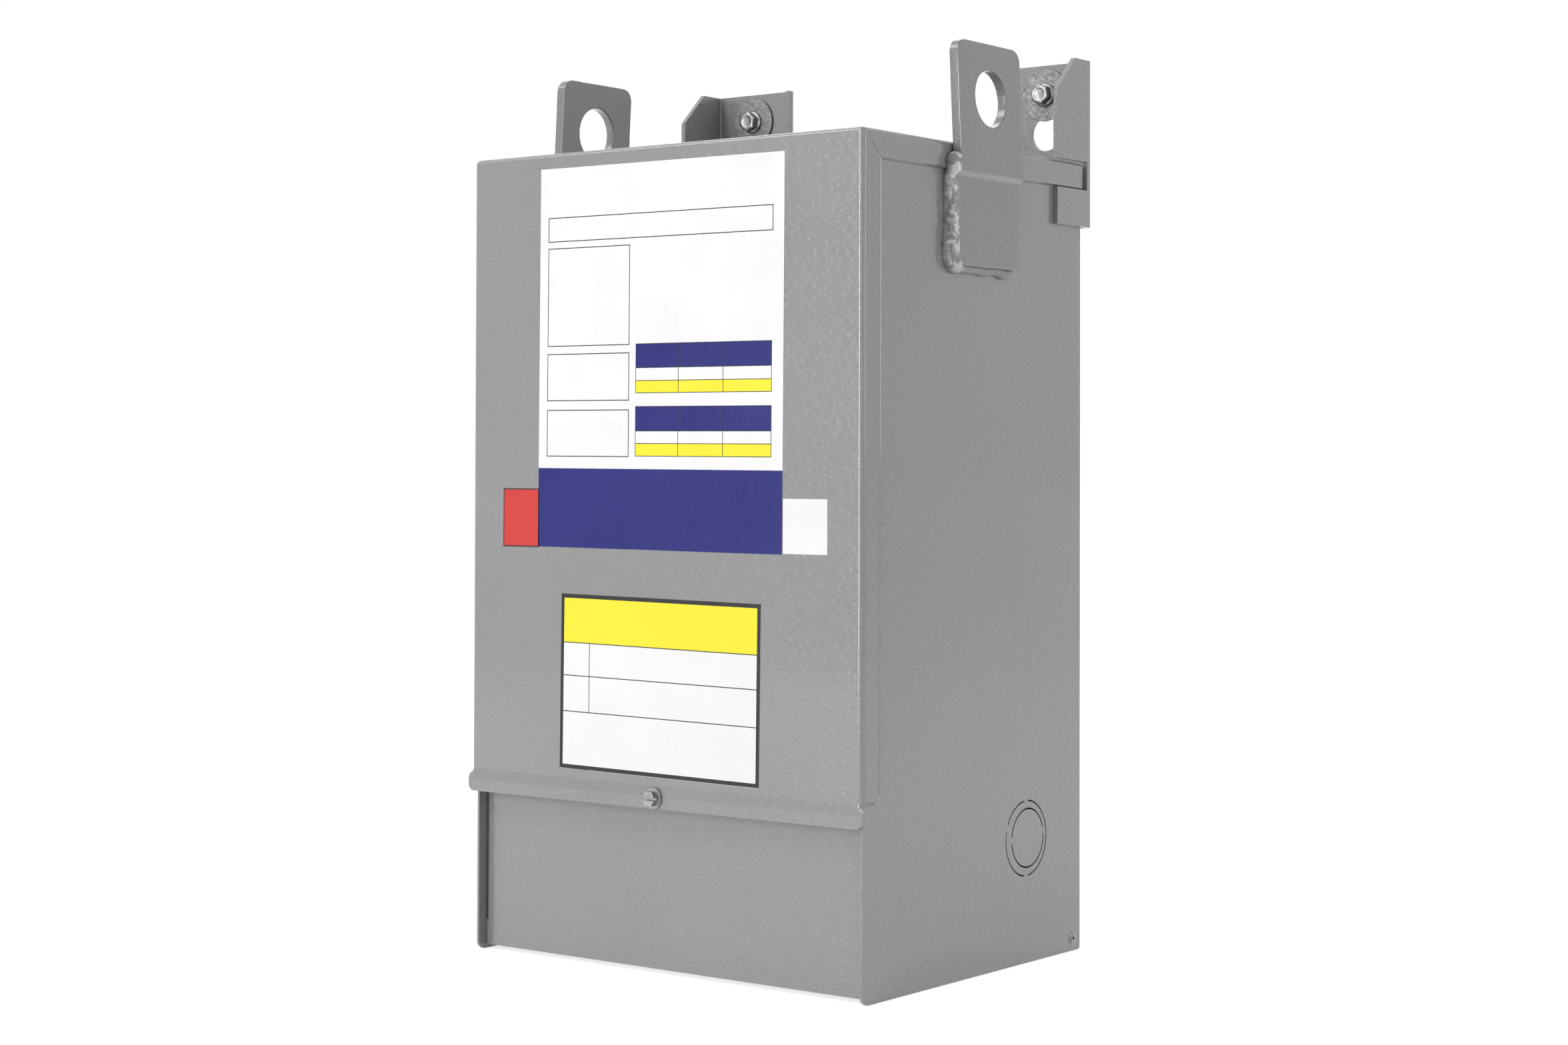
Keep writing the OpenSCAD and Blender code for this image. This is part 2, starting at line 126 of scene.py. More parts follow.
def gridQuads(rows, columns, wrapRows=False, wrapColumns=False, start=0):
    # quad (i, j) joins points i, i + 1 along the rows with j, j + 1 along the columns
    i = np.arange(rows if wrapRows else rows - 1)
    j = np.arange(columns if wrapColumns else columns - 1)
    i, j = np.meshgrid(i, j, indexing="ij")
    nextI, nextJ = (i + 1) % rows, (j + 1) % columns
    quads = np.stack([i * columns + j, i * columns + nextJ,
                      nextI * columns + nextJ, nextI * columns + j], -1)
    return quads.reshape(-1, 4) + start


def addPiece(name, mesh, material, replaced=()):
    piece = bpy.data.objects.new(name, mesh)
    bpy.context.scene.collection.objects.link(piece)
    mesh.materials.clear()
    for one in material if isinstance(material, (list, tuple)) else [material]:
        mesh.materials.append(one)
    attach(piece, "root")
    if replaced:
        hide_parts(*replaced)
    return piece


def settle(piece, angle=35):
    # takes the modifiers into the mesh, then marks edges sharper than the angle
    if piece.modifiers:
        takeShape(piece)
    piece.data.polygons.foreach_set("use_smooth", np.ones(len(piece.data.polygons), dtype=bool))
    piece.data.set_sharp_from_angle(angle=math.radians(angle))
    # weighted normals keep flat sheet flat beside its round edges
    even = piece.modifiers.new("normals", "WEIGHTED_NORMAL")
    even.keep_sharp = True
    takeShape(piece)
    return piece


def takeShape(piece):
    shaped = piece.evaluated_get(bpy.context.evaluated_depsgraph_get())
    mesh = bpy.data.meshes.new_from_object(shaped)
    piece.modifiers.clear()
    piece.data = mesh


def thicken(piece, thickness):
    solid = piece.modifiers.new("thickness", "SOLIDIFY")
    solid.thickness = thickness
    solid.offset = -1  # the given surface stays the outer one


def softenEdges(piece, width, segments=2, angle=40):
    bevel = piece.modifiers.new("edges", "BEVEL")
    bevel.width = width
    bevel.segments = segments
    bevel.limit_method = "ANGLE"
    bevel.angle_limit = math.radians(angle)


def mergePoints(mesh):
    # closes seams and poles, then turns the faces outward
    work = bmesh.new()
    work.from_mesh(mesh)
    bmesh.ops.remove_doubles(work, verts=work.verts, dist=1e-6)
    bmesh.ops.dissolve_degenerate(work, edges=work.edges, dist=1e-7)
    bmesh.ops.recalc_face_normals(work, faces=work.faces)
    work.to_mesh(mesh)
    work.free()


def refined(node, material, edge, segments=2, angle=40):
    # a merged copy of the node, with every sharp edge rounded to the given width
    mesh = nodes[node].data.copy()
    mesh.name = node + "_shape"
    work = bmesh.new()
    work.from_mesh(mesh)
    bmesh.ops.remove_doubles(work, verts=work.verts, dist=2e-6)
    bmesh.ops.dissolve_limit(work, angle_limit=math.radians(0.5), verts=work.verts, edges=work.edges)
    work.to_mesh(mesh)
    work.free()
    if mesh.has_custom_normals:
        mesh.attributes.remove(mesh.attributes["custom_normal"])
    piece = addPiece(node + "_finished", mesh, material, [node])
    if edge:
        softenEdges(piece, edge, segments, angle)
    return settle(piece)


def mirrored(points, side):
    return points * np.array([side, 1, 1])


def eased(share):
    # from 0 to 1 with level ends: 3 t^2 - 2 t^3
    return share ** 2 * (3 - 2 * share)


def ripple(*coords, seed, waves, longest, shortest):
    # sum of sines with seeded directions and wavelengths between shortest and longest, about -1 to 1
    draw = np.random.default_rng(seed)
    total = 0
    for _ in range(waves):
        length = math.exp(draw.uniform(math.log(shortest), math.log(longest)))
        direction = draw.normal(size=len(coords))
        direction /= np.linalg.norm(direction)
        phase = draw.uniform(0, tau)
        total = total + np.sin(tau / length * sum(d * c for d, c in zip(direction, coords)) + phase)
    return total / math.sqrt(waves)


def newMaterial(name, colour, roughness, metallic=0.0):
    material = bpy.data.materials.new(name)
    material.use_nodes = True
    shader = material.node_tree.nodes["Principled BSDF"]
    shader.inputs["Base Color"].default_value = (*colour, 1)
    shader.inputs["Roughness"].default_value = roughness
    shader.inputs["Metallic"].default_value = metallic
    return material, shader


def noiseOf(material, scale, detail=2.0, roughness=0.5, distortion=0.0, stretch=(1, 1, 1)):
    tree = material.node_tree
    place = tree.nodes.new("ShaderNodeTexCoord")
    turn = tree.nodes.new("ShaderNodeMapping")
    turn.inputs["Scale"].default_value = stretch
    tree.links.new(place.outputs["Object"], turn.inputs["Vector"])
    noise = tree.nodes.new("ShaderNodeTexNoise")
    noise.inputs["Scale"].default_value = scale
    noise.inputs["Detail"].default_value = detail
    noise.inputs["Roughness"].default_value = roughness
    noise.inputs["Distortion"].default_value = distortion
    tree.links.new(turn.outputs["Vector"], noise.inputs["Vector"])
    return noise.outputs["Fac"]


def spread(owner, source, lowIn, highIn, lowOut, highOut):
    # maps source from lowIn..highIn to lowOut..highOut; the owner is a material or the world
    node = owner.node_tree.nodes.new("ShaderNodeMapRange")
    node.inputs["From Min"].default_value = lowIn
    node.inputs["From Max"].default_value = highIn
    node.inputs["To Min"].default_value = lowOut
    node.inputs["To Max"].default_value = highOut
    owner.node_tree.links.new(source, node.inputs["Value"])
    return node.outputs["Result"]


def blendColours(material, factor, first, second):
    node = material.node_tree.nodes.new("ShaderNodeMix")
    node.data_type = "RGBA"
    sockets = [one for one in node.inputs if one.type == "RGBA"]
    for socket, colour in zip(sockets, (first, second)):
        if isinstance(colour, bpy.types.NodeSocket):
            material.node_tree.links.new(colour, socket)
        else:
            socket.default_value = (*colour, 1)
    material.node_tree.links.new(factor, node.inputs["Factor"])
    return [one for one in node.outputs if one.type == "RGBA"][0]


def addBump(material, height, strength, distance, under=None):
    bump = material.node_tree.nodes.new("ShaderNodeBump")
    bump.inputs["Strength"].default_value = strength
    bump.inputs["Distance"].default_value = distance
    material.node_tree.links.new(height, bump.inputs["Height"])
    if under is not None:
        material.node_tree.links.new(under, bump.inputs["Normal"])
    return bump.outputs["Normal"]


enamel = {
    "colour": (0.226, 0.226, 0.228),
    "darker": (0.209, 0.209, 0.212),
    "plateColour": (0.18, 0.18, 0.182),  # the lugs are a shade darker
    "plateDarker": (0.164, 0.164, 0.167),
    "platePeel": 0.35,
    "roughness": (0.27, 0.37),
    "peel": 260,  # waves per metre of the orange peel
    "grit": 1500,
    "gritLift": 1.32,  # how much brighter the grit is than the paint
    "mottle": 7,
    "coatRoughness": 0.09,
}


def enamelMaterial(name, colour, darker, peel=0.5):
    material, shader = newMaterial(name, colour, 0.4)
    links = material.node_tree.links
    mottle = noiseOf(material, enamel["mottle"], 4)
    speck = noiseOf(material, enamel["grit"], 2)
    blotch = blendColours(material, spread(material, mottle, 0.35, 0.65, 0, 1), darker, colour)
    lighter = tuple(one * enamel["gritLift"] for one in colour)
    links.new(blendColours(material, spread(material, speck, 0.5, 0.74, 0, 0.9), blotch, lighter),
              shader.inputs["Base Color"])
    links.new(spread(material, mottle, 0.3, 0.7, *enamel["roughness"]), shader.inputs["Roughness"])
    wave = addBump(material, noiseOf(material, enamel["peel"], 1.5, stretch=(1, 1, 1.7)), peel, 0.001)
    links.new(addBump(material, speck, 0.22, 0.0002, wave), shader.inputs["Normal"])
    shader.inputs["Coat Weight"].default_value = 1.0
    shader.inputs["Coat Roughness"].default_value = enamel["coatRoughness"]
    return material


def metalMaterial(name, colour, stain, roughness, scale, bump):
    # metal with blotches of a second tone, fine scratches and small pits
    material, shader = newMaterial(name, colour, roughness[0], 1.0)
    links = material.node_tree.links
    blotch = noiseOf(material, scale, 5, 0.62, 0.4)
    scratch = noiseOf(material, scale * 5, 3, 0.6, 0.0, (1, 1, 7))
    mix = spread(material, blotch, 0.36, 0.64, 0, 1)
    links.new(blendColours(material, mix, colour, stain), shader.inputs["Base Color"])
    links.new(spread(material, blotch, 0.3, 0.7, *roughness), shader.inputs["Roughness"])
    pits = addBump(material, blotch, bump, 0.0004)
    links.new(addBump(material, scratch, bump * 0.6, 0.00015, pits), shader.inputs["Normal"])
    return material


def filmMaterial(name, colour, roughness=0.3):
    # printed vinyl that lets the paint's orange peel show through
    material, shader = newMaterial(name, colour, roughness)
    links = material.node_tree.links
    shade = noiseOf(material, 30, 3)
    dimmed = tuple(one * 0.97 for one in colour)
    links.new(blendColours(material, spread(material, shade, 0.35, 0.65, 0, 1), dimmed, colour),
              shader.inputs["Base Color"])
    links.new(spread(material, shade, 0.3, 0.7, roughness * 0.85, roughness * 1.2),
              shader.inputs["Roughness"])
    links.new(addBump(material, noiseOf(material, 170, 1), 0.4, 0.0006), shader.inputs["Normal"])
    shader.inputs["Specular IOR Level"].default_value = 0.35
    return material


def compoundMaterial():
    material, shader = newMaterial("compound", (0.03, 0.03, 0.032), 0.6)
    grain = noiseOf(material, 420, 6, 0.7)
    links = material.node_tree.links
    links.new(blendColours(material, grain, (0.02, 0.02, 0.022), (0.055, 0.053, 0.05)),
              shader.inputs["Base Color"])
    links.new(spread(material, grain, 0.3, 0.7, 0.5, 0.75), shader.inputs["Roughness"])
    links.new(addBump(material, grain, 0.6, 0.001), shader.inputs["Normal"])
    return material


brightZinc = {  # bolts and cover screw
    "colour": (0.35, 0.35, 0.34),
    "stain": (0.23, 0.23, 0.22),
    "roughness": (0.28, 0.42),
    "scale": 260,
    "bump": 0.3,
}
dullZinc = {  # fender washers
    "colour": (0.26, 0.26, 0.255),
    "stain": (0.16, 0.16, 0.16),
    "roughness": (0.42, 0.6),
    "scale": 420,
    "bump": 0.7,
}
filmColours = {
    "white": (0.86, 0.86, 0.87),
    "ink": (0.02, 0.02, 0.022),
    "blue": (0.011, 0.014, 0.17),
    "yellow": (0.92, 0.80, 0.035),
    "red": (0.62, 0.045, 0.04),
}
paint = enamelMaterial("enamel", enamel["colour"], enamel["darker"])
lugPaint = enamelMaterial("enamel_on_plate", enamel["plateColour"], enamel["plateDarker"],
                          enamel["platePeel"])
zinc = metalMaterial("zinc", **brightZinc)
galvanised = metalMaterial("galvanised", **dullZinc)
compound = compoundMaterial()
films = {name: filmMaterial("film_" + name, colour) for name, colour in filmColours.items()}

weldFinish = {
    "colour": (0.27, 0.27, 0.275),
    "painted": (0.275, 0.275, 0.28),
    # light colour of the painted highlight on the front run
    "paintedHighlight": (0.56, 0.56, 0.57),
}


def weldMaterial():
    # paint over a rough bead, with a painted highlight: lighter, partly metallic patches on the front run
    # only
    material, shader = newMaterial("painted_weld", weldFinish["colour"], 0.4)
    links = material.node_tree.links
    lump = noiseOf(material, 330, 5, 0.65, 0.6)
    patches = spread(material, noiseOf(material, 150, 4, 0.6, 0.8), 0.46, 0.60, 0, 1)
    # mask of the painted highlight: noise patches, limited to the front run of the bead
    paintedHighlight = material.node_tree.nodes.new("ShaderNodeAttribute")
    paintedHighlight.attribute_name = "paintedHighlight"  # 1 on the front run, 0 on the rest
    both = material.node_tree.nodes.new("ShaderNodeMath")
    both.operation = "MULTIPLY"
    links.new(patches, both.inputs[0])
    links.new(paintedHighlight.outputs["Fac"], both.inputs[1])
    highlightShare = both.outputs[0]
    # painted highlight: the patches lighten the paint and raise its metallic value
    links.new(blendColours(material, highlightShare, weldFinish["painted"], weldFinish["paintedHighlight"]),
              shader.inputs["Base Color"])
    links.new(spread(material, lump, 0.3, 0.7, 0.28, 0.5), shader.inputs["Roughness"])
    links.new(spread(material, highlightShare, 0, 1, 0, 0.4), shader.inputs["Metallic"])
    links.new(addBump(material, lump, 0.5, 0.0008), shader.inputs["Normal"])
    return material


weldPaint = weldMaterial()
print("materials ready")

cover = {
    "sheet": 2 * mm,
    "bend": 3 * mm,
    "returnDepth": 16 * mm,
    "returnFoot": 107 * mm,
    "returnCorner": 4.5 * mm,
    "strip": 15 * mm,
    "rimWidth": 1.3 * mm,
    "rimRise": 0.34 * mm,
    "seam": 0.35 * mm,  # open line of the mitred corners
    "flareEnd": 100.5 * mm,  # below this the lip is straight
    "unrolled": 103 * mm,  # below this the lip's sides are flat
    "lipCorner": 4 * mm,
    "lipSide": 0.6 * mm,
    "edge": 0.55 * mm,
    "bendSteps": 11,  # points round each bend
    "faceColumns": 11,  # columns between the side bends
}


def coverShell():
    # The sheet's middle line runs up the face, over the top and down the back. At each point the
    # cross section is flat, turns through a bend of the given radius and ends in a flap whose
    # depth is cut by the mitre: depth = least of the flap and the distance to the corner.
    c = cover
    r, gap = c["bend"], c["seam"]
    sideX = lipX - c["lipSide"]
    arc = np.linspace(0, np.pi / 2, c["bendSteps"])
    inner = arc[1:-1]
    foot = c["returnFoot"] + c["returnCorner"] * (1 - np.cos(arc))
    kinkDepth = c["returnDepth"] + gap
    riseZ = np.concatenate([foot, np.linspace(foot[-1] + 5 * mm, coverTop - kinkDepth, 12), [coverTop - r]])
    # the flap's foot is a quarter circle, which takes corner * (1 - sqrt(1 - (1 - height)^2)) off it
    height = np.clip((riseZ - c["returnFoot"]) / c["returnCorner"], 0, 1)
    cornerCut = c["returnCorner"] * (1 - np.sqrt(np.clip(1 - (1 - height) ** 2, 0, 1)))
    faceDepth = np.minimum(c["returnDepth"] - cornerCut, np.maximum(r, coverTop - riseZ - gap))
    faceDepth[-1] = r
    runY = np.linspace(faceY + c["strip"] + gap, coverBackY - r - gap, 14)
    runY = np.concatenate([[faceY + r], runY, [coverBackY - r]])
    topDepth = np.full(len(runY), c["strip"])
    topDepth[[0, -1]] = r
    dropZ = np.linspace(coverTop - r, coverTop - c["strip"], 4)
    y = np.concatenate([np.full(len(riseZ), faceY), faceY + r - r * np.cos(inner), runY,
                        coverBackY - r + r * np.sin(inner), np.full(len(dropZ), coverBackY)])
    z = np.concatenate([riseZ, coverTop - r + r * np.sin(inner), np.full(len(runY), coverTop),
                        coverTop - r + r * np.cos(inner), dropZ])
    turn = np.concatenate([np.zeros(len(riseZ)), inner, np.full(len(runY), np.pi / 2),
                           np.pi / 2 + inner, np.full(len(dropZ), np.pi)])
    depth = np.concatenate([faceDepth, np.full(len(inner), r), topDepth,
                            np.full(len(inner) + len(dropZ), r)])
    flap = np.array([0.25, 0.5, 0.75, 0.86, 0.91, 0.94, 0.97, 1])
    acrossX = np.concatenate([np.full(len(flap), sideX), sideX - r + r * np.sin(arc[::-1])])
    acrossBend = np.concatenate([np.full(len(flap), r), r - r * np.cos(arc[::-1])])
    acrossFlap = np.concatenate([flap[::-1], np.zeros(len(arc))])
    middleX = np.linspace(sideX - r, r - sideX, c["faceColumns"] + 2)[1:-1]
    allX = np.concatenate([acrossX, middleX, -acrossX[::-1]])
    allBend = np.concatenate([acrossBend, np.zeros(len(middleX)), acrossBend[::-1]])
    allFlap = np.concatenate([acrossFlap, np.zeros(len(middleX)), acrossFlap[::-1]])
    inward = allBend[None, :] + allFlap[None, :] * (depth[:, None] - r)
    # each flap's rim stands out a little: the rise grows as the square of the nearness to its edge
    toEdge = (1 - allFlap)[None, :] * (depth - r)[:, None]
    toFoot = np.where(np.arange(len(z)) < len(riseZ), z - c["returnFoot"], 1)[:, None]
    near = np.clip(1 - np.minimum(toEdge, toFoot) / c["rimWidth"], 0, 1)
    rim = c["rimRise"] * near ** 2 * (allFlap > 0)[None, :] * (depth > r + 1 * mm)[:, None]
    points = np.stack([allX + np.sign(allX) * rim, y[:, None] + inward * np.cos(turn)[:, None],
                       z[:, None] - inward * np.sin(turn)[:, None]], -1)
    quads = gridQuads(*inward.shape)
    # the lip: the same face carried down, its side bends unrolling until they lie flat
    lipRows = np.concatenate([np.linspace(c["returnFoot"], lipZ + c["lipCorner"], 22),
                              lipZ + c["lipCorner"] * (1 - np.sin(np.linspace(0, np.pi / 2, 12)[1:]))])
    fall = np.clip((c["returnFoot"] - lipRows) / (c["returnFoot"] - c["flareEnd"]), 0, 1)
    lipFaceY = faceY + (lipY - faceY) * eased(fall)
    opened = np.clip((c["returnFoot"] - lipRows) / (c["returnFoot"] - c["unrolled"]), 0, 1)
    bend = np.maximum(np.pi / 2 * (1 - eased(opened)), 1e-3)[:, None]
    length = r * np.pi / 2 + (lipX - sideX + r - r * np.pi / 2) * opened[:, None]
    share = np.linspace(1, 0, len(arc))[None, :]
    sideways = sideX - r + length / bend * np.sin(share * bend)
    deep = length / bend * (1 - np.cos(share * bend))
    corner = np.clip((lipRows - lipZ) / c["lipCorner"], 0, 1)
    narrow = 1 - c["lipCorner"] / lipX * (1 - np.sqrt(1 - (1 - corner) ** 2))
    lipAcross = np.concatenate([sideways, np.broadcast_to(middleX, (len(lipRows), len(middleX))),
                                -sideways[:, ::-1]], 1)
    lipDeep = np.concatenate([deep, np.zeros((len(lipRows), len(middleX))), deep[:, ::-1]], 1)
    lip = np.stack([lipAcross * narrow[:, None], lipFaceY[:, None] + lipDeep,
                    np.broadcast_to(lipRows[:, None], lipDeep.shape)], -1)
    lipQuads = gridQuads(*lipDeep.shape, start=points.shape[0] * points.shape[1])[:, ::-1]
    mesh = meshFrom("front_cover_shape", np.concatenate([points.reshape(-1, 3), lip.reshape(-1, 3)]),
                    np.concatenate([quads, lipQuads]))
    work = bmesh.new()
    work.from_mesh(mesh)
    bmesh.ops.remove_doubles(work, verts=work.verts, dist=2e-6)
    bmesh.ops.dissolve_degenerate(work, edges=work.edges, dist=1e-6)
    bmesh.ops.recalc_face_normals(work, faces=work.faces)
    work.normal_update()
    facing = sum(face.normal.y * face.calc_area() for face in work.faces)  # the face looks to -y
    if facing > 0:
        bmesh.ops.reverse_faces(work, faces=work.faces)
    work.to_mesh(mesh)
    work.free()
    piece = addPiece("front_cover_sheet", mesh, paint, ["front_cover"])
    thicken(piece, c["sheet"])
    softenEdges(piece, c["edge"], 3)
    return settle(piece)


coverShell()
print("cover bent")


def plateWithHole(outer, hole, thickness, edge, steps=4):
    # Rings of points run from the outer outline round the rim to the far face and back through
    # the hole; each ring is an outline pushed inward by edge * (1 - sin a) at height edge * (1 - cos a).
    def pushed(outline, amount):
        along = np.roll(outline, -1, 0) - np.roll(outline, 1, 0)
        along /= np.linalg.norm(along, axis=1)[:, None]
        return outline + amount * np.stack([-along[:, 1], along[:, 0]], 1)

    turn = np.linspace(0, np.pi / 2, steps)
    rim = np.concatenate([edge * (1 - np.sin(turn)), edge * (1 - np.sin(turn[::-1]))])
    height = np.concatenate([edge * (1 - np.cos(turn)), thickness - edge * (1 - np.cos(turn[::-1]))])
    rings = [(pushed(outer, one), h) for one, h in zip(rim, height)]
    rings += [(pushed(hole, -one), h) for one, h in zip(rim[::-1], height[::-1])]
    points = np.stack([np.column_stack([ring, np.full(len(ring), h)]) for ring, h in rings])
    return points.reshape(-1, 3), gridQuads(len(rings), len(outer), True, True)


def roundedOutline(lowest, highest, radius, perCorner=12, perSide=10):
    # anticlockwise: four corner arcs joined by straight sides
    turn = np.linspace(0, np.pi / 2, perCorner)
    left, bottom = lowest[0] + radius, lowest[1] + radius
    right, top = highest[0] - radius, highest[1] - radius
    centres = [(right, bottom), (right, top), (left, top), (left, bottom)]
    parts = [np.stack([x + radius * np.cos(turn + start), y + radius * np.sin(turn + start)], 1)
             for (x, y), start in zip(centres, (-np.pi / 2, 0, np.pi / 2, np.pi))]
    whole = []
    for part, following in zip(parts, parts[1:] + parts[:1]):
        share = np.linspace(0, 1, perSide + 2)[1:-1, None]
        whole += [part, part[-1] * (1 - share) + following[0] * share]
    return np.concatenate(whole)


lug = {
    "thick": 6.35 * mm,
    "corner": 8 * mm,
    "edge": 0.9 * mm,
    "hole": 16 * mm,
    "holeRise": 26.3 * mm,
    "stepFoot": 447 * mm,  # the plate steps outward between these heights
    "stepHead": 450.8 * mm,
    "step": 3 * mm,
    "lean": 2.6,  # degrees by which the upper part leans back in
    "nick": 0.5 * mm,  # burr in the right lug's hole
    "wobble": 0.12 * mm,  # unevenness of the cut outline
}


def lugShape(side):
    # A flat plate in (y, z), set outward by x = step * eased(height over the step) and leaned back
    # above it by height * tan(lean). Ring height above the plate's inner face is added to x.
    name = "lifting_lug_" + ("right" if side > 0 else "left")
    l = lug
    lowest, highest = low(name), high(name)
    centre = np.array([(lowest[1] + highest[1]) / 2, coverTop + l["holeRise"]])
    outer = roundedOutline(lowest[1:], highest[1:], l["corner"])
    angle = np.arctan2(outer[:, 1] - centre[1], outer[:, 0] - centre[0])
    nick = l["nick"] * np.exp(-((angle + np.pi / 2 - 0.12) / 0.05) ** 2)
    radius = l["hole"] + (nick if side > 0 else 0)
    hole = centre + (radius * np.array([np.cos(angle), np.sin(angle)])).T
    wobble = l["wobble"] * ripple(outer[:, 0], outer[:, 1], seed=40 + side, waves=9,
                                  longest=0.03, shortest=0.004)
    outer = outer + wobble[:, None] * (outer - centre) / np.linalg.norm(outer - centre, axis=1)[:, None]
    outer[:, 1] = np.minimum(outer[:, 1], highest[2])
    points, quads = plateWithHole(outer, hole, l["thick"], l["edge"])
    mesh = meshFrom(name + "_plate", points, quads)
    work = bmesh.new()
    work.from_mesh(mesh)
    for level in np.linspace(l["stepFoot"], l["stepHead"], 9):
        bmesh.ops.bisect_plane(work, geom=work.verts[:] + work.edges[:] + work.faces[:], dist=1e-7,
                               plane_co=(0, level, 0), plane_no=(0, 1, 0))
    work.to_mesh(mesh)
    work.free()
    flat = np.empty(len(mesh.vertices) * 3, dtype=np.float32)
    mesh.vertices.foreach_get("co", flat)
    y, z, h = flat.reshape(-1, 3).T
    rise = np.clip((z - l["stepFoot"]) / (l["stepHead"] - l["stepFoot"]), 0, 1)
    x = panelX + l["step"] * eased(rise) + h
    x = x - np.maximum(z - l["stepHead"], 0) * math.tan(math.radians(l["lean"]))
    mesh.vertices.foreach_set("co", mirrored(np.stack([x, y, z], 1), side).astype(np.float32).ravel())
    mergePoints(mesh)
    return settle(addPiece(name + "_plate", mesh, lugPaint, [name]), 30)


weld = {
    "radius": 3.0 * mm,
    "frontExtra": 1.9 * mm,  # the front run is fatter
    "outward": 0.9 * mm,
    "offPanel": 1.0 * mm,
    "frontTop": 461 * mm,
    "rearTop": 450.5 * mm,
    "overStep": 2.6 * mm,  # how far the bead follows the plate's step outward
    "frontOut": 1.1 * mm,
    "highest": panelX + 9.3 * mm,
    "levelling": 1 * mm,  # the outer side levels off within this much of the highest point
    "scale": 3.1 * mm,  # spacing of the ripples that the bead solidified in
    "lump": 0.2 * mm,
    "taper": 5 * mm,  # length over which each end runs out
}


def weldShape(side):
    # A tube carried down the front edge, round the foot and up the rear edge of the lug. Its radius
    # is the mean, plus one small crest per ripple, plus slow waves, and falls to nothing at both ends.
    end = "right" if side > 0 else "left"
    name = "lug_weld_" + end
    w = weld
    lowest, highest = low("lifting_lug_" + end), high("lifting_lug_" + end)
    corner = lug["corner"]
    turn = np.linspace(0, np.pi / 2, 26)
    frontY, rearY, foot = lowest[1], highest[1], lowest[2]
    down = np.linspace(w["frontTop"], foot + corner, 90)[:-1]
    up = np.linspace(foot + corner, w["rearTop"], 70)[1:]
    across = np.linspace(frontY + corner, rearY - corner, 44)[1:-1]
    y = np.concatenate([np.full(len(down), frontY), frontY + corner - corner * np.cos(turn), across,
                        rearY - corner + corner * np.sin(turn), np.full(len(up), rearY)])
    z = np.concatenate([down, foot + corner - corner * np.sin(turn), np.full(len(across), foot),
                        foot + corner - corner * np.cos(turn), up])
    wander = ripple(y, z, seed=70 + side, waves=8, longest=0.05, shortest=0.012)
    alongY, alongZ = np.gradient(y), np.gradient(z)
    size = np.hypot(alongY, alongZ)
    outY, outZ = alongZ / size, -alongY / size
    flipped = np.where(outY * (y - (frontY + rearY) / 2) + outZ * (z - foot - 0.03) < 0, -1, 1)
    outY, outZ = outY * flipped, outZ * flipped
    run = np.concatenate([[0], np.cumsum(np.hypot(np.diff(y), np.diff(z)))])
    front = 1 / (1 + np.exp((y - frontY - 6 * mm) / (2 * mm)))
    crest = np.abs(np.sin(np.pi * run / w["scale"] + 0.8 * wander)) ** 0.6
    radius = (w["radius"] + w["frontExtra"] * front + (0.1 + 0.2 * front) * mm * crest
              + (0.15 + 0.4 * front) * mm * wander)
    ends = np.clip(np.minimum(run, run[-1] - run) / w["taper"], 0, 1)
    radius = radius * np.sqrt(1 - (1 - ends) ** 2)
    y = y + (w["outward"] + 0.5 * mm * wander) * outY
    z = z + (w["outward"] + 0.5 * mm * wander) * outZ
    step = np.clip((z - lug["stepFoot"]) / (lug["stepHead"] - lug["stepFoot"]), 0, 1)
    x = panelX + w["offPanel"] + w["overStep"] * step + w["frontOut"] * front
    ring = np.linspace(0, tau, 28, endpoint=False)
    lump = w["lump"] * ripple(y[:, None], z[:, None], 0.006 * np.cos(ring)[None, :],
                              seed=90 + side, waves=14, longest=0.01, shortest=0.003)
    wide = radius[:, None] + lump * (ends * (0.35 + 0.65 * front))[:, None]
    out = x[:, None] + wide * np.sin(ring)
    over = (out - w["highest"]) / w["levelling"] + 1
    out = np.where(over > 0, w["highest"] - w["levelling"] * np.exp(-over), out)
    points = np.stack([out, y[:, None] + wide * np.cos(ring) * outY[:, None],
                       z[:, None] + wide * np.cos(ring) * outZ[:, None]], -1)
    mesh = meshFrom(name + "_bead", mirrored(points.reshape(-1, 3), side),
                    gridQuads(len(y), len(ring), wrapColumns=True))
    # where the painted highlight goes: 1 on the front run, 0 on the rest
    paintedHighlight = mesh.attributes.new("paintedHighlight", "FLOAT", "POINT")
    paintedHighlight.data.foreach_set("value", np.repeat(front, len(ring)).astype(np.float32))
    mergePoints(mesh)
    return settle(addPiece(name + "_bead", mesh, weldPaint, [name]), 70)


for side in (-1, 1):
    lugShape(side)
    weldShape(side)
print("lugs and welds made")


def turned(name, profile, centre, material, replaced, hexRings=None, flats=0.0, segments=96):
    # A profile of (radius, height) turned about an axis that points toward the front. Where a ring is
    # marked as hexagonal its radius grows by 1 / cos of the angle from the nearest flat's middle.
    profile = np.asarray(profile, dtype=float) * mm
    around = np.linspace(0, tau, segments, endpoint=False)
    hexagon = 1 / np.cos((around + flats) % (np.pi / 3) - np.pi / 6) - 1
    amount = np.zeros(len(profile)) if hexRings is None else np.asarray(hexRings, dtype=float)
    radius = profile[:, :1] * (1 + amount[:, None] * hexagon[None, :])
    points = np.stack([centre[0] + radius * np.cos(around), centre[1] - profile[:, 1:] + 0 * radius,
                       centre[2] + radius * np.sin(around)], -1)
    mesh = meshFrom(name, points.reshape(-1, 3), gridQuads(len(profile), segments, wrapColumns=True))
    mergePoints(mesh)
    return settle(addPiece(name, mesh, material, replaced), 32)


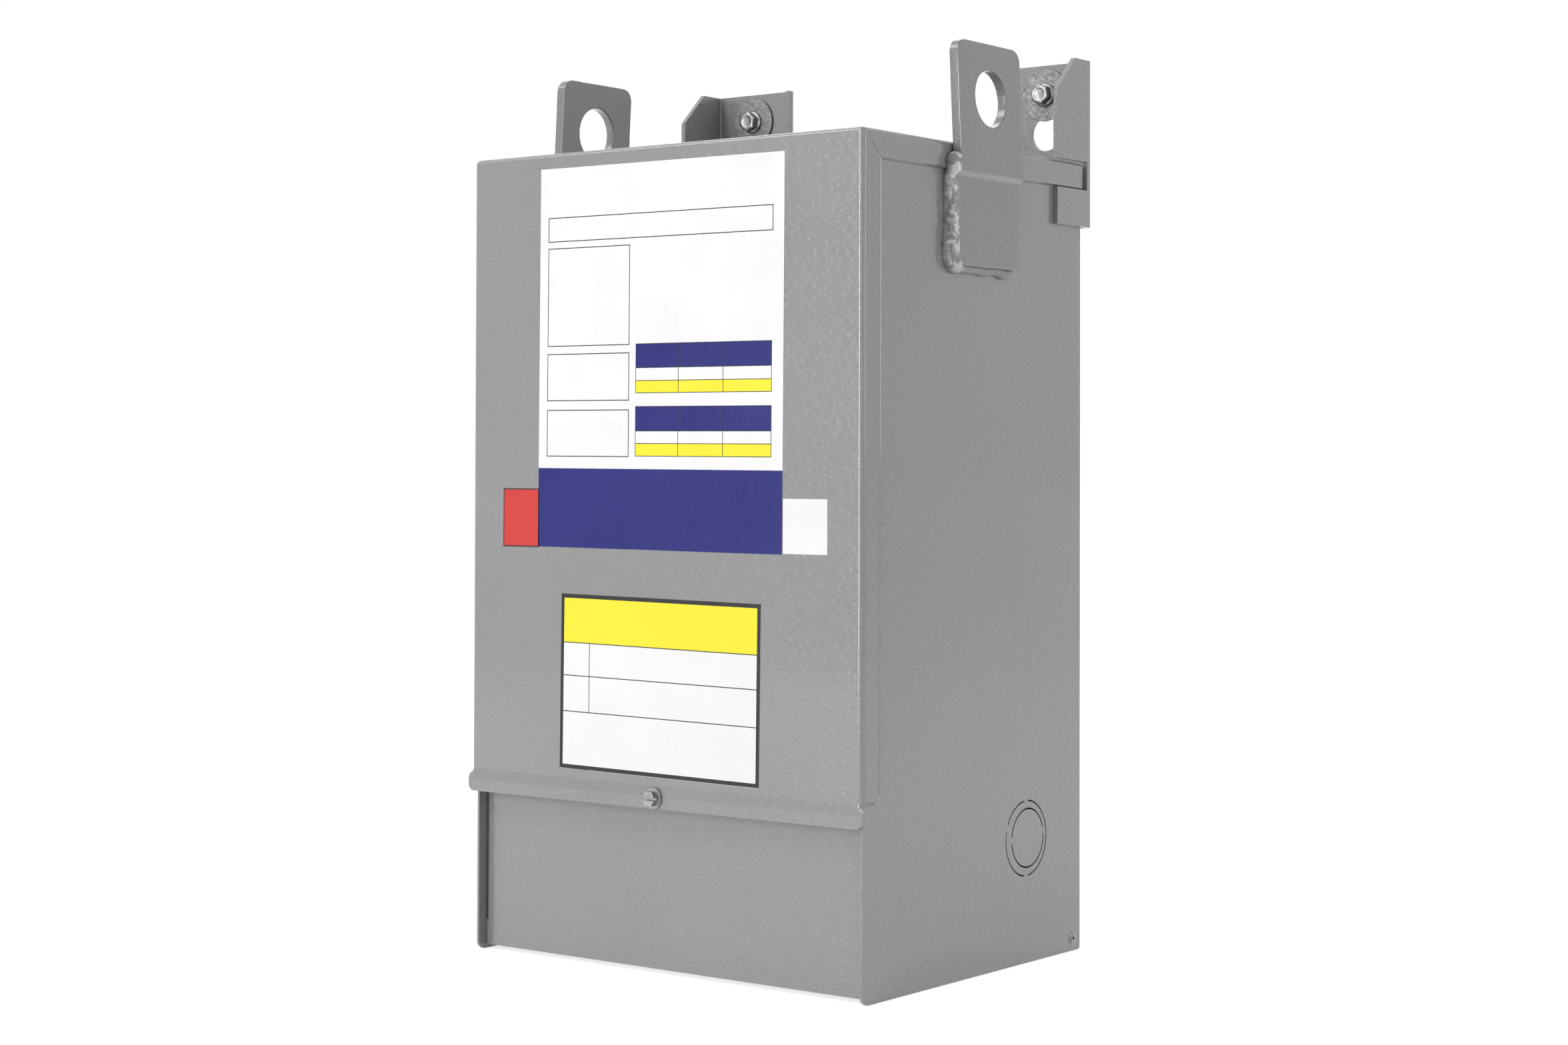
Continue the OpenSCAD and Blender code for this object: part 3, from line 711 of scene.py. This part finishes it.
fixings = {  # profiles in mm, from the middle outward
    "washer": [(4.1, 0), (15.3, 0), (15.75, 0.15), (15.9, 0.5), (15.9, 1.1), (15.7, 1.5),
               (15.2, 1.6), (14.6, 1.52), (6, 1.4), (4.6, 1.5), (4.1, 1.3), (4.1, 0)],
    "bolt": [(0, 6.3), (2.6, 6.3), (3.2, 6.45), (3.8, 6.75), (4.5, 6.8), (5.0, 6.6), (5.4, 6.25),
             (5.5, 5.9), (5.5, 2.2), (5.7, 1.75), (6.6, 1.45), (7.0, 1.2), (7.2, 0.8), (7.25, 0.4),
             (7.1, 0), (4, 0), (4, -4.6), (0, -4.6)],
    "hexagonal": [0, 0, 0, 0, 0.05, 0.35, 0.85, 1, 1, 0.6, 0, 0, 0, 0, 0, 0, 0, 0],
    "boltTurn": 0.35,
}

for side in (-1, 1):
    end = "right" if side > 0 else "left"
    washerName, boltName = "fender_washer_" + end, "wall_bolt_" + end
    seat = middle(washerName)
    back, front = high(washerName)[1], low(washerName)[1]
    turned(washerName + "_disc", fixings["washer"], (seat[0], back, seat[2]), galvanised, [washerName])
    turned(boltName + "_head", fixings["bolt"], (seat[0], front, seat[2]), zinc, [boltName],
           fixings["hexagonal"], fixings["boltTurn"] * side)
print("washers and bolts turned")

sheetEdges = {  # widths of the rounded edges in mm
    "side_panel_left": 0.3,
    "side_panel_right": 0.3,
    "back_panel": 0.3,
    "bottom_panel": 0.25,
    "wiring_cover": 0.3,
    "screw_clip": 0.25,
    "wall_bracket_left": 0.5,
    "wall_bracket_right": 0.5,
    "knockout_ring_left": 0.16,
    "knockout_ring_right": 0.16,
    "knockout_slug_left": 0.16,
    "knockout_slug_right": 0.16,
    "corner_rivet_left": 0.2,
    "corner_rivet_right": 0.2,
}
for name, edge in sheetEdges.items():
    refined(name, paint, edge * mm)
refined("cover_screw", zinc, 0.3 * mm, 3, 30)
refined("potted_core", compound, 1.0 * mm)
print("sheet panels finished")


def printedSheet(node, marks, tilt=0.0, ground="white"):
    # The sheet is cut along every printed edge into cells, and each cell takes the colour of the last
    # mark over its middle. Marks are (colour, left, right, top, bottom) from the upper left corner.
    lowest, highest = low(node), high(node)
    width, height = (highest[0] - lowest[0]) / mm, (highest[2] - lowest[2]) / mm
    inks = [ground] + sorted({mark[0] for mark in marks} - {ground})
    across = np.unique(np.clip([0, width] + [edge for mark in marks for edge in mark[1:3]], 0, width))
    down = np.unique(np.clip([0, height] + [edge for mark in marks for edge in mark[3:5]], 0, height))
    midAcross, midDown = (across[1:] + across[:-1]) / 2, (down[1:] + down[:-1]) / 2
    colour = np.zeros((len(midDown), len(midAcross)), dtype=np.int32)
    for ink, left, right, top, bottom in marks:
        inside = (midAcross > left) & (midAcross < right)
        colour[np.ix_((midDown > top) & (midDown < bottom), inside)] = inks.index(ink)
    u = (np.broadcast_to(across, (len(down), len(across))) - width / 2) * mm
    v = (height / 2 - np.broadcast_to(down[:, None], (len(down), len(across)))) * mm
    turn = math.radians(tilt)
    centre = middle(node)
    points = np.stack([centre[0] + u * math.cos(turn) + v * math.sin(turn), np.full(u.shape, lowest[1]),
                       centre[2] - u * math.sin(turn) + v * math.cos(turn)], -1)
    quads = gridQuads(len(down), len(across))[:, ::-1]
    mesh = meshFrom(node + "_print", points.reshape(-1, 3), quads, False)
    piece = addPiece(node + "_print", mesh, [films[ink] for ink in inks], [node])
    mesh.polygons.foreach_set("material_index", colour.ravel())
    thicken(piece, highest[1] - lowest[1])
    return settle(piece)


def outlined(left, right, top, bottom, line=0.55, ink="ink"):
    # four thin bars round a rectangle
    return [(ink, left, right, top, top + line), (ink, left, right, bottom - line, bottom),
            (ink, left, left + line, top, bottom), (ink, right - line, right, top, bottom)]


def ruledTable(left, right, columns, rows):
    # a blue heading, a white row and a yellow row, with thin ruled lines
    marks = [("blue", left, right, rows[0], rows[1]), ("yellow", left, right, rows[2], rows[3])]
    marks += [("ink", left, right, row - 0.22, row + 0.22) for row in rows[1:3]]
    marks += [("ink", column - 0.22, column + 0.22, rows[0], rows[3]) for column in columns]
    return marks + outlined(left, right, rows[0], rows[3], 0.45)


labels = {  # in mm from each label's upper left corner; tilts in degrees
    "boxes": [(6.2, 170.6, 28.5, 42.8), (6.2, 68.4, 46.3, 103.3),
              (6.2, 68.4, 107.5, 134.8), (6.2, 68.4, 139.8, 166.8)],
    "tableSides": (73.1, 170.2),
    "tableColumns": (104.4, 136.3),
    "tableRows": [(102.6, 116.3, 123.6, 130.7), (138.0, 152.0, 159.1, 166.4)],
    "band": ("blue", 0, 178, 173.5, 219),
    "sheetTilt": 0.3,
    "cardRows": (27.5, 46.4, 67),
    "cardTilt": 0.6,
}
sheetMarks = [mark for box in labels["boxes"] for mark in outlined(*box)]
for rows in labels["tableRows"]:
    sheetMarks += ruledTable(*labels["tableSides"], labels["tableColumns"], rows)
sheetMarks.append(labels["band"])
cardMarks = [("yellow", 0, 145, 0, 27.5)]
cardMarks += [("ink", 0, 145, row, row + 0.55) for row in labels["cardRows"]]
cardMarks += [("ink", 21.5, 22.0, 27.5, 67)] + outlined(0, 145, 0, 100, 2.3)
printedSheet("large_label", sheetMarks, labels["sheetTilt"])
printedSheet("ruled_card", cardMarks, labels["cardTilt"])
printedSheet("square_tag", outlined(0.6, 29.2, 0.6, 29.2, 0.15, "white"))
printedSheet("upright_sticker", [("red", 0.7, 27.3, 0.7, 33.3)], 0, "ink")
print("labels printed")


room = {
    "floorColour": (0.86, 0.86, 0.86),
    "floorGlow": 0.68,  # added for the eye and for reflections, so that only the shadow stays grey
    "floorHalf": 30,
    "below": 0.4 * mm,  # the floor lies this far under the feet
    "world": 0.42,  # strength of the sky's light; it is seen as 1
}


def seenShare(owner):
    # 1 for rays from the camera, from a gloss or through glass, and 0 for rays that only carry light
    tree = owner.node_tree
    path = tree.nodes.new("ShaderNodeLightPath")
    share = path.outputs["Is Camera Ray"]
    for kind in ("Is Glossy Ray", "Is Transmission Ray"):
        more = tree.nodes.new("ShaderNodeMath")
        more.operation = "MAXIMUM"
        tree.links.new(share, more.inputs[0])
        tree.links.new(path.outputs[kind], more.inputs[1])
        share = more.outputs[0]
    return share


def makeRoom():
    half = room["floorHalf"]
    corners = [(-half, -half, -room["below"]), (half, -half, -room["below"]),
               (half, half, -room["below"]), (-half, half, -room["below"])]
    mesh = meshFrom("floor", corners, [(0, 1, 2, 3)], False)
    floor = bpy.data.objects.new("floor", mesh)
    bpy.context.scene.collection.objects.link(floor)
    material, shader = newMaterial("floor", room["floorColour"], 0.9)
    tree = material.node_tree
    glow = tree.nodes.new("ShaderNodeEmission")
    both = tree.nodes.new("ShaderNodeAddShader")
    tree.links.new(spread(material, seenShare(material), 0, 1, 0, room["floorGlow"]),
                   glow.inputs["Strength"])
    tree.links.new(shader.outputs[0], both.inputs[0])
    tree.links.new(glow.outputs[0], both.inputs[1])
    tree.links.new(both.outputs[0], tree.nodes["Material Output"].inputs["Surface"])
    mesh.materials.append(material)
    world = bpy.data.worlds.new("studio")
    bpy.context.scene.world = world
    world.use_nodes = True
    sky = world.node_tree.nodes["Background"]
    sky.inputs["Color"].default_value = (1, 1, 1, 1)
    world.node_tree.links.new(spread(world, seenShare(world), 0, 1, room["world"], 1),
                              sky.inputs["Strength"])


def addLight(name, azimuth, elevation, distance, size, power):
    # a soft box that looks at the middle of the box from the given direction
    data = bpy.data.lights.new(name, "AREA")
    data.shape = "RECTANGLE"
    data.size, data.size_y = size
    data.energy = power
    lamp = bpy.data.objects.new(name, data)
    bpy.context.scene.collection.objects.link(lamp)
    a, e = math.radians(azimuth), math.radians(elevation)
    away = Vector((math.sin(a) * math.cos(e), -math.cos(a) * math.cos(e), math.sin(e)))
    lamp.location = Vector((0, 0, coverTop / 2)) + away * distance
    lamp.rotation_euler = away.to_track_quat("Z", "Y").to_euler()


softBoxes = {  # azimuth, elevation, distance, (width, height), power
    "front_box": (-13, 9, 2.4, (0.5, 1.3), 25),
    "right_box": (105, 16, 2.5, (0.7, 1.3), 10),
    "top_box": (-38, 50, 2.6, (1.6, 0.9), 17),
    "rear_box": (215, 50, 3.0, (1.6, 1.6), 9),
}
makeRoom()
for name, settings in softBoxes.items():
    addLight(name, *settings)
bpy.context.scene.view_settings.view_transform = "Standard"
print("room lit")
